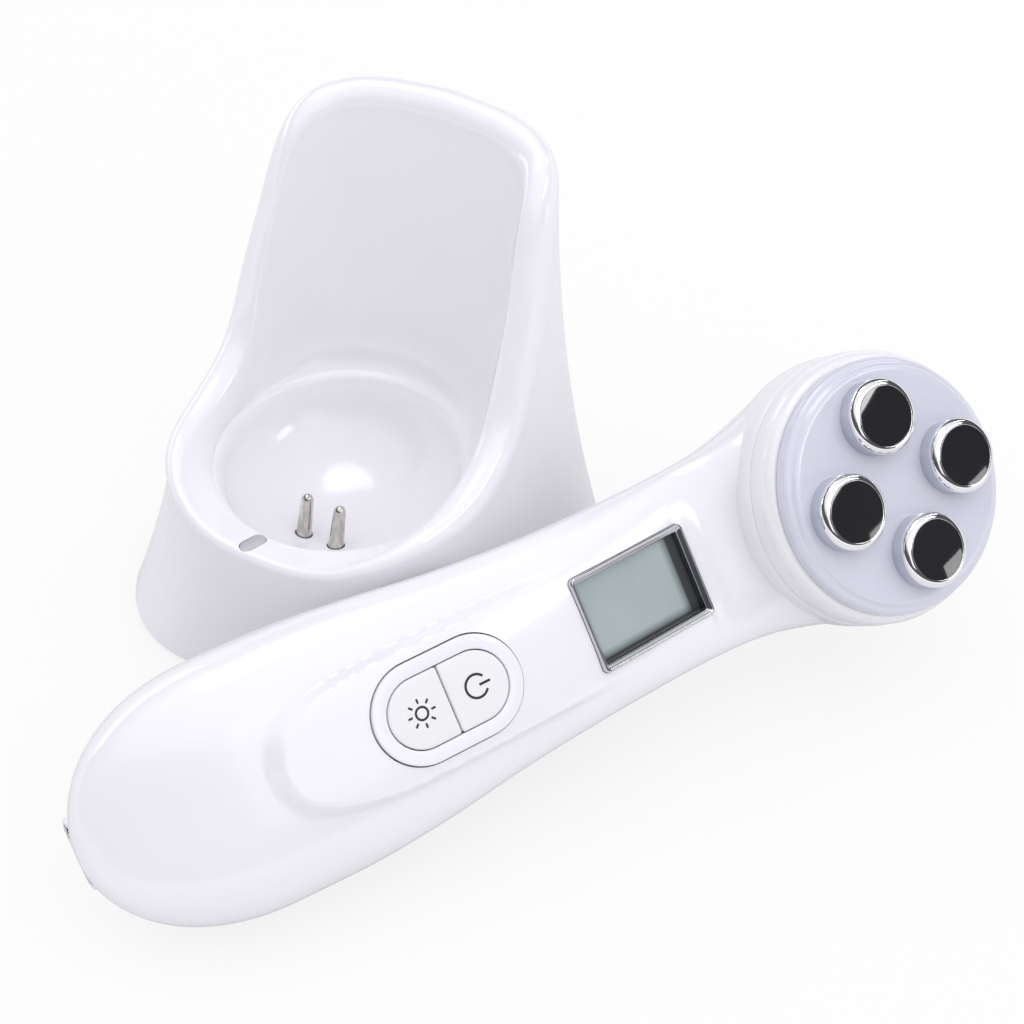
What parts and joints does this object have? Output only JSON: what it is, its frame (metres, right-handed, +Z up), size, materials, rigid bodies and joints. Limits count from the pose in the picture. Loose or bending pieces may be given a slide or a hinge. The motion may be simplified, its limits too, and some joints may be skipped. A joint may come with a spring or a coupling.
{
  "type": "facial massager",
  "caption": "Handheld facial massager with a round electrode head, a display and push buttons, lying beside its scooped charging cradle.",
  "frame": {"origin": "centre of the flat underside of the cradle's base plate", "axes": "+Z up, the cradle opens towards -Y, +X to the side where the handset lies"},
  "size_m": [0.1764, 0.1751, 0.104],
  "materials": {
    "white_shell": "smooth gloss",
    "white_base": "fine matt",
    "white_button": "smooth gloss",
    "electrode_chrome": "mirror plated",
    "light_disc": "satin, light passes through",
    "pin_nickel": "nickel plated",
    "steel": "zinc plated",
    "board": "printed circuit board",
    "led_board": "white circuit board",
    "dark_plastic": "moulded",
    "rubber_grey": "matt rubber",
    "display_frame": "polished frame",
    "display_glass": "clear pane",
    "display_module": "grey-green display",
    "indicator": "frosted",
    "lamp": "clear moulding",
    "cell_wrap": "printed sleeve"
  },
  "bodies": {
    "cradle": {"cradle_shell": "white_shell", "cradle_base": "white_base", "cradle_foot_1": "rubber_grey", "cradle_foot_2": "rubber_grey", "cradle_foot_3": "rubber_grey", "cradle_foot_4": "rubber_grey", "base_screw_1": "steel", "base_screw_2": "steel", "base_screw_3": "steel", "base_screw_4": "steel", "cradle_board": "board", "charge_pin_left": "pin_nickel", "charge_pin_right": "pin_nickel", "pin_carrier": "dark_plastic", "indicator_window": "indicator", "indicator_lamp": "lamp", "power_inlet": "dark_plastic"},
    "handset": {"front_cover": "white_shell", "back_cover": "white_shell", "cover_screw_1": "steel", "cover_screw_2": "steel", "cover_screw_3": "steel", "head_collar": "white_shell", "light_disc": "light_disc", "led_board": "led_board", "photon_led_1": "lamp", "photon_led_2": "lamp", "photon_led_3": "lamp", "photon_led_4": "lamp", "electrode_1": "electrode_chrome", "electrode_nut_1": "steel", "electrode_2": "electrode_chrome", "electrode_nut_2": "steel", "electrode_3": "electrode_chrome", "electrode_nut_3": "steel", "electrode_4": "electrode_chrome", "electrode_nut_4": "steel", "display_frame": "display_frame", "display_glass": "display_glass", "display_module": "display_module", "button_ring": "white_shell", "power_switch": "dark_plastic", "light_switch": "dark_plastic", "main_board": "board", "boost_transformer": "dark_plastic", "battery_cell": "cell_wrap", "charge_contact_left": "pin_nickel", "charge_contact_right": "pin_nickel"},
    "power_button": {"power_button": "white_button"},
    "light_button": {"light_button": "white_button"}
  },
  "joints": [
    {"name": "handset_lift", "type": "slide", "parent": "cradle", "child": "handset", "axis": [0, 0, 1], "range_m": [0, 0.06]},
    {"name": "power_button_press", "type": "slide", "parent": "handset", "child": "power_button", "axis": [-0.6186, 0.3911, -0.6815], "range_m": [0, 0.0006], "stiffness_N_per_m": 2500},
    {"name": "light_button_press", "type": "slide", "parent": "handset", "child": "light_button", "axis": [-0.6186, 0.3911, -0.6815], "range_m": [0, 0.0006], "stiffness_N_per_m": 2500}
  ]
}
